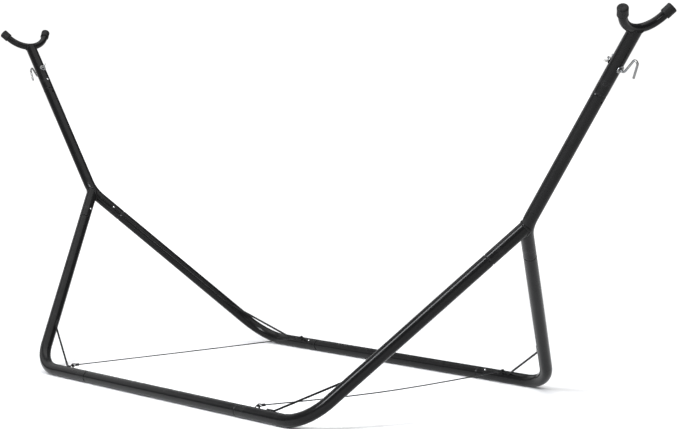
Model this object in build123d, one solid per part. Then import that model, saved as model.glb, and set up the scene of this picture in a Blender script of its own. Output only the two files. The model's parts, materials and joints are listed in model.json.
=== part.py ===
"""Steel hammock stand: two leaning arms on a four-legged tube base, held together by snap buttons.

The frame rests on the floor at z = 0. X runs along the stand from arm to arm, Y across it, Z up.
The origin is on the floor under the middle of the stand. All sizes are in millimetres.
"""
from build123d import *
import os
from math import cos, pi, radians, sin, sqrt, tan

# --- Main tube ---------------------------------------------------------------------------------
tube_od = 48.0
tube_wall = 2.0
swage_gap = 0.3              # radial gap between a swaged neck and the bore that takes it
swage_taper = 6.0            # length of the cone between the full tube and its neck
neck_length = 90.0           # how far a leg's or floor tube's neck reaches into its socket

# --- Stand layout, measured on tube axes -------------------------------------------------------
corner_half_length = 900.0   # from the middle of the stand to a floor corner
floor_half_width = 589.0     # from the middle of the stand to a floor tube
knee_half_length = 1398.0    # from the middle of the stand to a knee
knee_rise = 672.0            # from the floor tubes up to a knee
arm_angle = 52.4             # slope of an arm above the floor, in degrees
arm_length = 575.0           # knee to the foot of the yoke sleeve
arm_neck_length = 165.0      # how far the arm's swaged neck reaches into the yoke sleeve
socket_length = 165.0        # knee to the mouth of a leg socket
floor_tube_length = 1040.0   # between the mouths of the two legs that it joins
corner_bend_radius = 210.0
knee_bend_radius = 150.0

# --- Yoke --------------------------------------------------------------------------------------
yoke_sleeve_length = 255.0   # foot of the sleeve to the axis of the saddle tube
saddle_od = 30.0
saddle_wall = 2.0
saddle_bend_radius = 112.0
saddle_half_angle = 58.0     # bend of each horn, in degrees
yoke_plate_t = 2.0           # plate that closes the sleeve on both sides of the saddle
horn_length = 33.0           # straight end of each horn
cap_od = 38.0
cap_length = 37.0
cap_floor = 4.0              # rubber beyond the end of the horn
cap_gap = 0.05
cap_edge = 6.0

# --- Hook bolt and its hardware ----------------------------------------------------------------
hook_height = 686.0          # knee to the bolt, along the arm
spare_hole_height = 552.0    # knee to the spare bolt hole, along the arm
bolt_d = 8.0
bolt_hole_gap = 0.3
thread_gap = 0.06
bolt_inner_reach = 43.0      # arm axis to the threaded end
hook_shank_reach = 42.0      # arm axis to the first bend
hook_rise = 66.0             # first bend to the crown, along the arm
hook_lean = 13.0             # how much further out the crown stands than the first bend
crown_width = 18.5
crown_drop = 7.0
hook_tip_drop = 48.0         # crown to the tip, along the arm
hook_tip_lean = 13.0
hook_bend_radius = 12.0
crown_radius = 10.5
washer_od = 28.0
washer_t = 2.0
lock_washer_od = 14.0
lock_washer_t = 2.2
stop_nut_flats = 13.0
stop_nut_t = 4.0
wing_hub_od = 14.0
wing_hub_t = 8.0
wing_hub_taper = 5.0         # in degrees
wing_span = 38.0
wing_t = 3.0
wing_rise = 10.0             # tip of a wing above the hub
wing_tip_w = 7.0
wing_root = 2.0              # inner end of a wing, inside the hub
wing_corner = 2.0
seat_gap = 0.1               # gap between a flat washer and the round tube under it

# --- Snap buttons ------------------------------------------------------------------------------
button_d = 8.0
button_gap = 0.4
button_proud = 4.0
button_flange_d = 11.0
button_flange_t = 1.5
button_flat = 0.6            # radius of the flat on top of the dome
button_inset = 46.0          # mouth of a socket to its button
clip_strip_w = 9.0
clip_strip_t = 0.8
clip_reach = 42.0            # button to the fold of the clip
clip_fold_radius = 5.0
clip_tail = 12.0
clip_seat = 0.35

# --- Corner braces -----------------------------------------------------------------------------
brace_d = 8.0
brace_leg_reach = 207.0      # corner to the brace's upper bend
brace_floor_reach = 192.0    # corner to the brace's lower bend
brace_foot = 41.0
brace_short_foot = 15.0      # floor foot of a brace that shares its tube with the far eyelet
brace_bend_radius = 10.0
brace_gap = 0.05

# --- Cross cables and their eyelets ------------------------------------------------------------
eyelet_wire = 5.0
eyelet_span = 22.0
eyelet_rise = 12.5           # tube surface to the axis of the wire
eyelet_bend_radius = 6.0
eyelet_bite = 0.5            # how far a leg of the wire is cut into before it fits the tube
eyelet_near = 608.0          # middle of the stand to the eyelets on one pair of legs
eyelet_far = 675.0           # the same on the other pair
cable_d = 5.0
eye_play = 0.1
eye_length = 15.0            # eyelet wire to the ferrule
ferrule_d = 11.0
ferrule_length = 13.0
ferrule_edge = 0.8
cable_bend_share = 0.45      # how much of the run beside a bend of the cable the bend takes

tube_r = tube_od / 2
bore_r = tube_r - tube_wall
neck_r = bore_r - swage_gap
floor_axis_z = tube_r
knee_z = floor_axis_z + knee_rise
floor_seam = floor_tube_length / 2
cradle_height = arm_length + yoke_sleeve_length
cut_margin = 2.0             # a cutter runs past the face it cuts by this much


def arm_point(along, out, end, across=0.0):
    """Point given by its distance up an arm from the knee, outwards from it, and across the stand."""
    up = radians(arm_angle)
    x = knee_half_length + along * cos(up) + out * sin(up)
    z = knee_z + along * sin(up) - out * cos(up)
    return Vector(end * x, across, z)


def corner_point(end, side):
    return Vector(end * corner_half_length, side * floor_half_width, floor_axis_z)


def leg_direction(end, side):
    """From a floor corner up to the knee."""
    return (arm_point(0, 0, end) - corner_point(end, side)).normalized()


def bar_direction(end):
    """From a floor corner towards the middle of the stand."""
    return Vector(-end, 0, 0)


def inward(along, towards):
    """Unit vector at right angles to `along`, leaning towards `towards`."""
    return (towards - along * towards.dot(along)).normalized()


def ring(at, direction, outer, inner):
    plane = Plane(origin=at, z_dir=direction)
    return plane * (Circle(outer) - Circle(inner))


def tube(points, radius, outer, wall):
    """Round tube along straight runs joined by bends of one radius."""
    path = FilletPolyline(*points, radius=radius)
    start = path.position_at(0)
    return sweep(ring(start, path.tangent_at(0), outer, outer - wall), path=path)


def rod(points, radii, r):
    path = FilletPolyline(*points, radius=radii)
    face = Plane(origin=path.position_at(0), z_dir=path.tangent_at(0)) * Circle(r)
    return sweep(face, path=path)


def cylinder(at, direction, r, length):
    return extrude(Plane(origin=at, z_dir=direction) * Circle(r), amount=length)


def straight_tube(at, direction, length, outer, wall):
    return extrude(ring(at, direction, outer, outer - wall), amount=length)


def swaged_neck(mouth, direction, length):
    """End of a tube drawn down to enter a bore: a cone outside the mouth, then a parallel neck."""
    sideways = inward(direction, Vector(0, 0, 1))
    cone_start = Plane(origin=mouth - direction * swage_taper, x_dir=sideways, z_dir=direction)
    neck_bore = neck_r - tube_wall
    tip = swage_taper + length
    profile = Polyline((bore_r, 0), (tube_r, 0), (neck_r, swage_taper), (neck_r, tip),
                       (neck_bore, tip), (neck_bore, swage_taper), close=True)
    turned = revolve(Plane.XZ * make_face(profile), axis=Axis.Z)
    return cone_start * turned


def hole(at, direction, r, reach):
    return cylinder(at - direction * reach, direction, r, 2 * reach)


def save(name, shape):
    shape.label = name
    export_step(shape, f"parts/{name}.step")


def through_holes(end, height):
    """Cutter for a bolt hole through both walls of an arm or its sleeve."""
    at = arm_point(height, 0, end)
    out = (arm_point(height, 1, end) - at).normalized()
    return hole(at, out, bolt_d / 2 + bolt_hole_gap, tube_r + cut_margin)


def button_hole(at, outward):
    return cylinder(at, outward, button_d / 2 + button_gap, tube_r + cut_margin)


# Places of the snap buttons: mouth of the socket, direction into the socket, and outward direction.
def yoke_button(end):
    mouth = arm_point(arm_length, 0, end)
    into = (arm_point(arm_length + 1, 0, end) - mouth).normalized()
    outward = (arm_point(arm_length, -1, end) - mouth).normalized()
    return mouth + into * button_inset, into, outward


def knee_button(end, side):
    knee = arm_point(0, 0, end)
    down = leg_direction(end, side) * -1
    outward = inward(down, bar_direction(end))
    return knee + down * (socket_length - button_inset), down * -1, outward


def floor_button(end, side):
    at = Vector(end * (floor_seam + button_inset), side * floor_half_width, floor_axis_z)
    outward = inward(bar_direction(end), leg_direction(end, side))
    return at, bar_direction(end) * -1, outward


def make_arm_frame(end):
    """Arm tube, bent at the knee into the socket of the back leg, and its swaged upper neck."""
    seam = arm_point(arm_length, 0, end)
    up = (arm_point(1, 0, end) - arm_point(0, 0, end)).normalized()
    knee = arm_point(0, 0, end)
    back = leg_direction(end, 1) * -1
    points = [seam - up * swage_taper, knee, knee + back * socket_length]
    body = tube(points, knee_bend_radius, tube_r, tube_wall)
    body += swaged_neck(seam, up, arm_neck_length)
    body -= through_holes(end, hook_height)
    body -= through_holes(end, spare_hole_height)
    for at, _, outward in (yoke_button(end), knee_button(end, 1)):
        body -= button_hole(at, outward)
    return body


def make_front_socket(end):
    """Short tube welded to the knee; its upper end is cut to fit round the bent arm tube."""
    knee = arm_point(0, 0, end)
    down = leg_direction(end, -1) * -1
    stub = straight_tube(knee, down, socket_length, tube_r, tube_wall)
    back = leg_direction(end, 1) * -1
    points = [arm_point(arm_length / 2, 0, end), knee, knee + back * socket_length]
    stub -= rod(points, knee_bend_radius, tube_r)
    at, _, outward = knee_button(end, -1)
    stub -= button_hole(at, outward)
    return stub.solids().sort_by(SortBy.VOLUME)[-1]


def make_leg(end, side):
    """Leg tube: swaged neck in the knee socket, bend at the floor, and the socket of a floor tube."""
    corner = corner_point(end, side)
    up = leg_direction(end, side)
    mouth = arm_point(0, 0, end) - up * socket_length
    seam = Vector(end * floor_seam, side * floor_half_width, floor_axis_z)
    body = tube([mouth - up * swage_taper, corner, seam], corner_bend_radius, tube_r, tube_wall)
    body += swaged_neck(mouth, up, neck_length)
    for at, _, outward in (knee_button(end, side), floor_button(end, side)):
        body -= button_hole(at, outward)
    return body


def make_floor_tube(side):
    """Straight floor tube with a swaged neck at each end."""
    start = Vector(swage_taper - floor_seam, side * floor_half_width, floor_axis_z)
    body = straight_tube(start, Vector(1, 0, 0), floor_tube_length - 2 * swage_taper, tube_r, tube_wall)
    for end in (-1, 1):
        mouth = Vector(end * floor_seam, side * floor_half_width, floor_axis_z)
        body += swaged_neck(mouth, Vector(end, 0, 0), neck_length)
        at, _, outward = floor_button(end, side)
        body -= button_hole(at, outward)
    return body


def saddle_points(end):
    """Along the saddle tube: horn tip, start of its bend, bottom, end of the bend, horn tip."""
    bend = radians(saddle_half_angle)
    rise = saddle_bend_radius * (1 - cos(bend))
    spread = saddle_bend_radius * sin(bend)
    tip_rise = rise + horn_length * sin(bend)
    tip_spread = spread + horn_length * cos(bend)
    places = [(tip_rise, -tip_spread), (rise, -spread), (0, 0), (rise, spread), (tip_rise, tip_spread)]
    return [arm_point(cradle_height + up, 0, end, across) for up, across in places]


def saddle_path(end):
    tip_a, bend_a, bottom, bend_b, tip_b = saddle_points(end)
    return Wire([Line(tip_a, bend_a), ThreePointArc(bend_a, bottom, bend_b), Line(bend_b, tip_b)])


def make_saddle(end):
    path = saddle_path(end)
    start = path.position_at(0)
    return sweep(ring(start, path.tangent_at(0), saddle_od / 2, saddle_od / 2 - saddle_wall), path=path)


def make_yoke_sleeve(end):
    """Sleeve over the arm's neck, its closed top cut to fit under the saddle tube it is welded to."""
    foot = arm_point(arm_length, 0, end)
    up = (arm_point(arm_length + 1, 0, end) - foot).normalized()
    sleeve = straight_tube(foot, up, yoke_sleeve_length, tube_r, tube_wall)
    sleeve += cylinder(arm_point(cradle_height - yoke_plate_t, 0, end), up, tube_r, yoke_plate_t)
    path = saddle_path(end)
    saddle = Plane(origin=path.position_at(0), z_dir=path.tangent_at(0)) * Circle(saddle_od / 2)
    sleeve -= sweep(saddle, path=path)
    sleeve -= through_holes(end, hook_height)
    at, _, outward = yoke_button(end)
    sleeve -= button_hole(at, outward)
    return sleeve.solids().sort_by(SortBy.VOLUME)[-1]


def make_horn_cap(end, side):
    """Rubber cup pushed over a horn of the saddle."""
    corners = saddle_points(end)
    tip, bend = (corners[0], corners[1]) if side < 0 else (corners[4], corners[3])
    out = (tip - bend).normalized()
    open_end = tip + out * (cap_floor - cap_length)
    cup = cylinder(open_end, out, cap_od / 2, cap_length)
    rim = cup.edges().filter_by(GeomType.CIRCLE)
    cup = fillet(rim.sort_by(Axis(open_end, out))[-1], cap_edge)
    return cup - cylinder(open_end, out, saddle_od / 2 + cap_gap, cap_length - cap_floor + cap_gap)


def make_hook_bolt(end):
    """Round bar: threaded shank through the arm, then a hook whose tip points down the arm."""
    shank = hook_height
    points = [
        arm_point(shank, -bolt_inner_reach, end),
        arm_point(shank, hook_shank_reach, end),
        arm_point(shank + hook_rise, hook_shank_reach + hook_lean, end),
        arm_point(shank + hook_rise - crown_drop, hook_shank_reach + hook_lean + crown_width, end),
        arm_point(shank + hook_rise - crown_drop - hook_tip_drop,
                  hook_shank_reach + hook_lean + crown_width + hook_tip_lean, end),
    ]
    return rod(points, [hook_bend_radius, crown_radius, crown_radius], bolt_d / 2)


def disc(end, out_from, thickness, od, inner=bolt_d / 2 + bolt_hole_gap):
    """Washer on the hook bolt, from one distance outwards of the arm axis to the next."""
    at = arm_point(hook_height, out_from, end)
    out = (arm_point(hook_height, out_from + 1, end) - at).normalized()
    return extrude(ring(at, out, od / 2, inner), amount=thickness)


def make_stop_nut(end):
    at = arm_point(hook_height, tube_r + 2 * seat_gap + washer_t, end)
    out = (arm_point(hook_height, 1, end) - arm_point(hook_height, 0, end)).normalized()
    plane = Plane(origin=at, x_dir=Vector(0, 1, 0), z_dir=out)
    flats = RegularPolygon(stop_nut_flats / 2, 6, major_radius=False) - Circle(bolt_d / 2 + thread_gap)
    return extrude(plane * flats, amount=stop_nut_t)


def make_wing_nut(end):
    """Hub with two thin wings that rise past it, on the threaded end of the hook bolt."""
    seat = tube_r + 2 * seat_gap + washer_t + lock_washer_t
    at = arm_point(hook_height, -seat, end)
    out = (arm_point(hook_height, -seat - 1, end) - at).normalized()
    along = (arm_point(hook_height + 1, 0, end) - arm_point(hook_height, 0, end)).normalized()
    turn = Plane(origin=at, x_dir=(along + Vector(0, 1, 0)).normalized(), z_dir=out)
    hub = extrude(Circle(wing_hub_od / 2), amount=wing_hub_t, taper=wing_hub_taper)
    shoulder = wing_hub_t - wing_t / 3
    tip = wing_hub_t + wing_rise
    half_span = wing_span / 2
    outline = Polyline((wing_root, wing_t / 2), (wing_hub_od / 2, wing_t / 3), (half_span, shoulder),
                       (half_span - wing_t / 2, tip), (half_span - wing_tip_w, tip - wing_t / 3),
                       (wing_hub_od / 2 - wing_root, shoulder), (wing_root, shoulder), close=True)
    wing = extrude(Plane.XZ * make_face(outline), amount=wing_t / 2, both=True)
    wing = fillet(wing.edges().filter_by(Axis.Y).sort_by(Axis.Z)[-3:], wing_corner)
    nut = hub + wing + wing.mirror(Plane.YZ)
    nut -= Cylinder(bolt_d / 2 + thread_gap, 2 * tip + 2 * cut_margin)
    return turn * nut


def make_button(place):
    """Domed pin with a flange that stops it against the inside of the neck."""
    at, _, outward = place
    flange_half = button_flange_d / 2
    inner = neck_r - tube_wall
    flange_top = sqrt(inner ** 2 - flange_half ** 2) - seat_gap
    pin_length = tube_r + button_proud - flange_top
    pin = cylinder(at + outward * flange_top, outward, button_d / 2, pin_length)
    top = pin.edges().filter_by(GeomType.CIRCLE).sort_by(Axis(at, outward))[-1]
    pin = fillet(top, button_d / 2 - button_flat)
    flange_foot = at + outward * (flange_top - button_flange_t)
    return pin + cylinder(flange_foot, outward, flange_half, button_flange_t)


def make_clip(place):
    """Spring strip folded into a V in the neck: one leg carries the button, one rests on the far wall."""
    at, into, outward = place
    inner = neck_r - tube_wall
    flange_half = button_flange_d / 2
    top = sqrt(inner ** 2 - flange_half ** 2) - seat_gap - button_flange_t - clip_strip_t / 2
    floor = sqrt(inner ** 2 - (clip_strip_w / 2) ** 2) - clip_seat - clip_strip_t / 2
    deep = into * -1
    points = [at + deep * -flange_half + outward * top, at + deep * flange_half + outward * top,
              at + deep * clip_reach + outward * -top / 2, at - outward * floor + deep * clip_reach / 3,
              at - outward * floor - deep * clip_tail]
    path = FilletPolyline(*points, radius=[clip_fold_radius, clip_fold_radius, clip_fold_radius])
    across = outward.cross(into)
    face = Plane(origin=points[0], x_dir=across, z_dir=deep) * Rectangle(clip_strip_w, clip_strip_t)
    return sweep(face, path=path)


def has_near_eyelet(end, side):
    """One diagonal pair of legs has its eyelets nearer the middle of the stand."""
    return end * side < 0


def make_corner_brace(end, side):
    """Round bar across a floor corner, its bent feet welded along the leg and the floor socket."""
    corner = corner_point(end, side)
    up = leg_direction(end, side)
    bar = bar_direction(end)
    stand_off = tube_r + brace_d / 2 + brace_gap
    leg_side = inward(up, bar) * stand_off
    bar_side = inward(bar, up) * stand_off
    floor_foot = brace_foot if has_near_eyelet(end, side) else brace_short_foot
    points = [
        corner + up * (brace_leg_reach + brace_foot) + leg_side,
        corner + up * brace_leg_reach + leg_side,
        corner + bar * brace_floor_reach + bar_side,
        corner + bar * (brace_floor_reach + floor_foot) + bar_side,
    ]
    return rod(points, brace_bend_radius, brace_d / 2)


def eyelet_place(end, side):
    """Middle of the wire that a cable pulls on."""
    x = end * (eyelet_near if has_near_eyelet(end, side) else eyelet_far)
    up = inward(bar_direction(end), leg_direction(end, side))
    return Vector(x, side * floor_half_width, floor_axis_z) + up * (tube_r + eyelet_rise), up


def make_eyelet(end, side):
    """Bent wire staple welded on the floor socket."""
    middle, up = eyelet_place(end, side)
    half = Vector(eyelet_span / 2, 0, 0)
    down = up * (eyelet_rise + eyelet_bite)
    points = [middle - half - down, middle - half, middle + half, middle + half - down]
    staple = rod(points, eyelet_bend_radius, eyelet_wire / 2)
    axis = Vector(end * corner_half_length, side * floor_half_width, floor_axis_z)
    return staple - cylinder(axis, bar_direction(end), tube_r, corner_half_length)


# Cross cables: a cable under light tension hangs a little below the straight line between its eyelets.
cable_sag = {-1: 1.5, 1: 15.0}


def cable_route(end):
    """Points of a cable from its front ferrule to its back one, and the pull direction at each."""
    front, _ = eyelet_place(end, -1)
    back, _ = eyelet_place(end, 1)
    third = (back - front) * (1 / 3)
    drop = Vector(0, 0, -cable_sag[end])
    low = [front + third + drop, back - third + drop]
    pulls = {-1: (low[0] - front).normalized(), 1: (low[1] - back).normalized()}
    reach = eye_length + ferrule_length
    return [front + pulls[-1] * reach, *low, back + pulls[1] * reach], pulls


def make_cable(end):
    points, _ = cable_route(end)
    radii = []
    for before, here, after in zip(points, points[1:], points[2:]):
        turn = (here - before).get_angle(after - here)
        run = min((here - before).length, (after - here).length)
        radii.append(cable_bend_share * run / tan(radians(turn) / 2))
    cable = rod(points, radii, cable_d / 2)
    length = cable.volume / (pi * (cable_d / 2) ** 2)
    print(f"cable {end:+d}: bend radii {[round(r) for r in radii]} mm, length {length:.1f} mm")
    for point in points:
        print(f"    ({point.X:.1f}, {point.Y:.1f}, {point.Z:.1f})")
    return cable


def make_ferrule(end, side):
    wire, _ = eyelet_place(end, side)
    _, pulls = cable_route(end)
    sleeve = cylinder(wire + pulls[side] * eye_length, pulls[side], ferrule_d / 2, ferrule_length)
    return chamfer(sleeve.edges().filter_by(GeomType.CIRCLE), ferrule_edge)


def make_eye(end, side):
    """Loop of cable round the eyelet wire; its two legs close up and meet the ferrule."""
    wire, _ = eyelet_place(end, side)
    _, pulls = cable_route(end)
    pull = pulls[side]
    reach = eyelet_wire / 2 + cable_d / 2 + eye_play
    leg_gap = (cable_d + eye_play) / 2
    step = inward(pull, Vector(0, 0, 1))
    half = [(eye_length + 1, leg_gap), (reach, reach), (-reach, reach)]
    loop = half + [(along, -across) for along, across in reversed(half)]
    points = [wire + pull * along + step * across for along, across in loop]
    radii = [reach, reach - eye_play, reach - eye_play, reach]
    return rod(points, radii, cable_d / 2) - make_ferrule(end, side)


os.makedirs("parts", exist_ok=True)
end_names = {-1: "left", 1: "right"}
side_names = {-1: "front", 1: "back"}

for side, side_name in side_names.items():
    save(f"{side_name}_floor_tube", make_floor_tube(side))

for end, end_name in end_names.items():
    save(f"{end_name}_arm", make_arm_frame(end))
    save(f"{end_name}_front_socket", make_front_socket(end))
    save(f"{end_name}_yoke_sleeve", make_yoke_sleeve(end))
    save(f"{end_name}_yoke_saddle", make_saddle(end))
    save(f"{end_name}_hook_bolt", make_hook_bolt(end))
    save(f"{end_name}_outer_washer", disc(end, tube_r + seat_gap, washer_t, washer_od))
    save(f"{end_name}_stop_nut", make_stop_nut(end))
    save(f"{end_name}_inner_washer", disc(end, -tube_r - seat_gap - washer_t, washer_t, washer_od))
    lock_from = -tube_r - seat_gap - washer_t - lock_washer_t
    save(f"{end_name}_lock_washer", disc(end, lock_from, lock_washer_t, lock_washer_od))
    save(f"{end_name}_wing_nut", make_wing_nut(end))
    save(f"{end_name}_yoke_button", make_button(yoke_button(end)))
    save(f"{end_name}_yoke_button_clip", make_clip(yoke_button(end)))
    save(f"{end_name}_cross_cable", make_cable(end))
    save(f"{end_name}_cable_eyes", Compound([make_eye(end, side) for side in side_names]))
    save(f"{end_name}_cable_ferrules", Compound([make_ferrule(end, side) for side in side_names]))
    for side, side_name in side_names.items():
        corner = f"{end_name}_{side_name}"
        save(f"{corner}_leg", make_leg(end, side))
        save(f"{corner}_horn_cap", make_horn_cap(end, side))
        save(f"{corner}_brace", make_corner_brace(end, side))
        save(f"{corner}_eyelet", make_eyelet(end, side))
        save(f"{corner}_knee_button", make_button(knee_button(end, side)))
        save(f"{corner}_floor_button", make_button(floor_button(end, side)))
    knee_places = [knee_button(end, side) for side in side_names]
    floor_places = [floor_button(end, side) for side in side_names]
    clips = [make_clip(place) for place in knee_places + floor_places]
    save(f"{end_name}_leg_button_clips", Compound(clips))
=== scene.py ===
# %% [markdown]
# # A hammock stand of black steel tube
#
# Two arms lean away from each other on a four-legged base of bent tube. The tubes plug into each
# other and are held by snap buttons. A forked top and a hook bolt at each arm take the hammock.
# The shapes of the tubes come from a solid model. This lesson loads it, adds the small things that
# a solid model leaves out (weld beads, screw threads, rubber caps, stranded cable), and gives
# every part its finish.

# %% Load the solid model
import json
from math import cos, pi, radians, sin, sqrt, tau
import bpy
import numpy as np
from mathutils import Matrix

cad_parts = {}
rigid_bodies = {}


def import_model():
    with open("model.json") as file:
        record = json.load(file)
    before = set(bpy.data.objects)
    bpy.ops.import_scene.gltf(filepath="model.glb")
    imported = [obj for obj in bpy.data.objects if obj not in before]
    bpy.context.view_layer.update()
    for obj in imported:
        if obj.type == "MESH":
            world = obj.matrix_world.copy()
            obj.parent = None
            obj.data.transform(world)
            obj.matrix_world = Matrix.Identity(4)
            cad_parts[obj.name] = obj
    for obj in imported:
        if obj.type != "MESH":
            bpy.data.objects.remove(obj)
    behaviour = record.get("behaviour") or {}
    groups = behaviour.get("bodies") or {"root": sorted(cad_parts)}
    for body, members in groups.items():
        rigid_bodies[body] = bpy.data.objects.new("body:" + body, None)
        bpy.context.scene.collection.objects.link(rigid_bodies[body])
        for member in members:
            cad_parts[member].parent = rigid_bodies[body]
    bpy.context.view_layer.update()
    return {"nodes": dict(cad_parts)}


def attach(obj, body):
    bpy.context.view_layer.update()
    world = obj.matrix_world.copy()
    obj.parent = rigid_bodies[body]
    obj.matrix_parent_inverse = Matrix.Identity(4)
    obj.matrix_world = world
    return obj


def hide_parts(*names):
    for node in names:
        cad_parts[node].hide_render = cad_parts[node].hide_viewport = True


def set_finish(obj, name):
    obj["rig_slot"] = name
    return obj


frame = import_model()
nodes = frame["nodes"]

# %% [markdown]
# ## The camera
#
# It stands nearly eight metres away, a little lower than the tops of the arms, and looks slightly
# down along the stand from its right front. A long lens keeps the far arm almost as large as the
# near one. The camera is turned a little about its own axis, so its three directions are given
# outright.

# %% Place the camera
camera = bpy.data.objects.new("camera", bpy.data.cameras.new("camera"))
bpy.context.scene.collection.objects.link(camera)
camera_right = (0.60127, 0.79868, -0.02418)
camera_up = (-0.07789, 0.08871, 0.99301)
camera_back = (0.79524, -0.59518, 0.11555)
turned = Matrix((camera_right, camera_up, camera_back)).transposed().to_4x4()
camera.matrix_world = Matrix.Translation((6.2696, -4.6923, 1.3190)) @ turned
camera.data.sensor_width = 36.0
camera.data.lens = 105.29
camera.data.shift_x = 0.0873
camera.data.shift_y = 0.0953
camera.data.clip_end = 200.0
bpy.context.scene.camera = camera
print("camera at", tuple(round(x, 3) for x in camera.location), "lens", camera.data.lens, "mm")

# %% [markdown]
# ## Where things are
#
# Everything on an arm is easiest to place by how far it is up the arm from the knee, and how far it
# stands outwards from the arm's axis. One function turns that into a point in the room. The left
# half of the stand is the right half with the sign of X changed.

# %% Places on the stand
MM = 0.001
TUBE_R = 24 * MM
KNEE = np.array([1398.0, 0.0, 696.0]) * MM
CORNER = np.array([900.0, 589.0, 24.0]) * MM
SLOPE = radians(52.4)
ENDS = {"left": -1, "right": 1}
SIDES = {"front": -1, "back": 1}


def arm_place(along, out, across, end):
    """Knee plus `along` times the arm's direction plus `out` times the outward direction, in
    metres. The arguments may be arrays; `end` is the sign of X."""
    along, out, across = np.broadcast_arrays(along, out, across)
    x = KNEE[0] + along * cos(SLOPE) + out * sin(SLOPE)
    z = KNEE[2] + along * sin(SLOPE) - out * cos(SLOPE)
    return np.stack([end * x, across + 0.0 * x, z], axis=-1)


def unit(v):
    """Each vector divided by its length."""
    return v / np.linalg.norm(v, axis=-1, keepdims=True)


def dot(a, b):
    """Sum of the products of matching components, kept as a last axis of one."""
    return (a * b).sum(axis=-1, keepdims=True)


def signs(end, side):
    return np.array([end, side, 1.0])


print("right arm top at", arm_place(0.834, 0.0, 0.0, 1).round(3))

# %% [markdown]
# ## Surfaces from rings
#
# Nearly every piece here is round in section: a bead, a cap, a bolt, a cable. Each is worked out as
# a stack of rings, a whole array at a time, and one function stitches neighbouring rings together
# with four-sided faces. Rings turn anticlockwise as seen against the direction in which they
# follow each other, so the faces look outwards.

# %% Stitch rings into a piece
def shell(rings, loop=False):
    """Points and faces of a skin over rings[i, j], point j of ring i. Each ring closes on itself.
    The stack closes on itself too if `loop` is true; otherwise a fan of triangles to the middle
    of the first and last ring closes its ends."""
    count, around, _ = rings.shape
    points = rings.reshape(-1, 3)
    i, j = np.meshgrid(np.arange(count if loop else count - 1), np.arange(around), indexing="ij")
    after, beside = (i + 1) % count, (j + 1) % around
    corners = [i * around + j, i * around + beside, after * around + beside, after * around + j]
    faces = np.stack(corners, axis=-1).reshape(-1, 4).tolist()
    if not loop:
        points = np.vstack([points, rings[0].mean(axis=0), rings[-1].mean(axis=0)])
        j = np.arange(around)
        k = (j + 1) % around
        low, high = np.full(around, count * around), np.full(around, count * around + 1)
        last = (count - 1) * around
        faces += np.stack([low, k, j], axis=-1).tolist()
        faces += np.stack([high, last + j, last + k], axis=-1).tolist()
    return points, faces


def piece(name, body, slot, shells, sharp=40.0):
    """One object from several shells. Edges that turn more than `sharp` degrees stay crisp."""
    points, faces, base = [], [], 0
    for some_points, some_faces in shells:
        points.append(some_points)
        faces += [[corner + base for corner in face] for face in some_faces]
        base += len(some_points)
    mesh = bpy.data.meshes.new(name)
    mesh.from_pydata(np.vstack(points), [], faces)
    mesh.shade_smooth()
    mesh.set_sharp_from_angle(angle=radians(sharp))
    made = bpy.data.objects.new(name, mesh)
    bpy.context.scene.collection.objects.link(made)
    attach(made, body)
    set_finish(made, slot)
    return made


def around_path(path, lean, radius, turns):
    """Rings about a path: point + radius * (cos t * n + sin t * b). n is `lean` made square to
    the path, b completes the right-handed set, and `radius` is one number, one per ring, or one
    per ring and angle. `turns` is the array of angles t."""
    tangent = unit(np.gradient(path, axis=0))
    n = unit(lean - tangent * dot(lean, tangent))
    b = np.cross(tangent, n)
    radius = np.broadcast_to(np.asarray(radius, float).reshape(-1, 1) if np.ndim(radius) == 1
                             else radius, (len(path), len(turns)))[..., None]
    cosine, sine = np.cos(turns)[None, :, None], np.sin(turns)[None, :, None]
    return path[:, None, :] + radius * (cosine * n[:, None, :] + sine * b[:, None, :])


def turned_shape(start, axis, lean, profile, turns):
    """Surface of revolution: profile rows are (distance along the axis, radius)."""
    axis = unit(np.asarray(axis, float))
    n = unit(lean - axis * dot(lean, axis))
    b = np.cross(axis, n)
    circle = np.cos(turns)[:, None] * n + np.sin(turns)[:, None] * b
    return start + profile[:, 0, None, None] * axis + profile[:, 1, None, None] * circle[None]


def angles(count):
    return np.arange(count) * tau / count


# %% [markdown]
# ## The two cross cables
#
# A plastic-coated wire rope joins each pair of feet and keeps them from spreading. It is nearly
# straight and sags a little between its two eyelets. The line is a smooth spline through the
# route's four points. The rope itself is a tube along that line whose surface swells over six
# strands that wind round it.

# %% Lines and skins of the cables
CABLE_D = 5 * MM
STRANDS = 6
LAY_LENGTH = 38 * MM
STRAND_RELIEF = 0.12 * MM
cable_routes = {
    "left": [(-0.6733, -0.5370, 0.0513), (-0.6527, -0.1883, 0.0499),
             (-0.6303, 0.1883, 0.0499), (-0.6097, 0.5370, 0.0513)],
    "right": [(0.6097, -0.5370, 0.0503), (0.6303, -0.1883, 0.0364),
              (0.6527, 0.1883, 0.0364), (0.6733, 0.5370, 0.0503)],
}


def spline_line(name, route):
    """Points along a smooth spline that has the route's points as its control points."""
    curve = bpy.data.curves.new(name, "CURVE")
    curve.dimensions = "3D"
    spline = curve.splines.new("NURBS")
    spline.points.add(len(route) - 1)
    spline.points.foreach_set("co", np.hstack([route, np.ones((len(route), 1))]).ravel())
    spline.order_u = 3
    spline.use_endpoint_u = True
    spline.resolution_u = 48
    holder = bpy.data.objects.new(name, curve)
    bpy.context.scene.collection.objects.link(holder)
    mesh = bpy.data.meshes.new_from_object(holder)
    line = np.empty(len(mesh.vertices) * 3)
    mesh.vertices.foreach_get("co", line)
    bpy.data.objects.remove(holder)
    bpy.data.meshes.remove(mesh)
    return line.reshape(-1, 3)


def resample(line, step):
    """The same line with points at even steps along its length, and their distances along it."""
    along = np.concatenate([[0], np.cumsum(np.linalg.norm(np.diff(line, axis=0), axis=1))])
    places = np.linspace(0, along[-1], round(along[-1] / step) + 1)
    return np.stack([np.interp(places, along, line[:, k]) for k in range(3)], axis=-1), places


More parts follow.
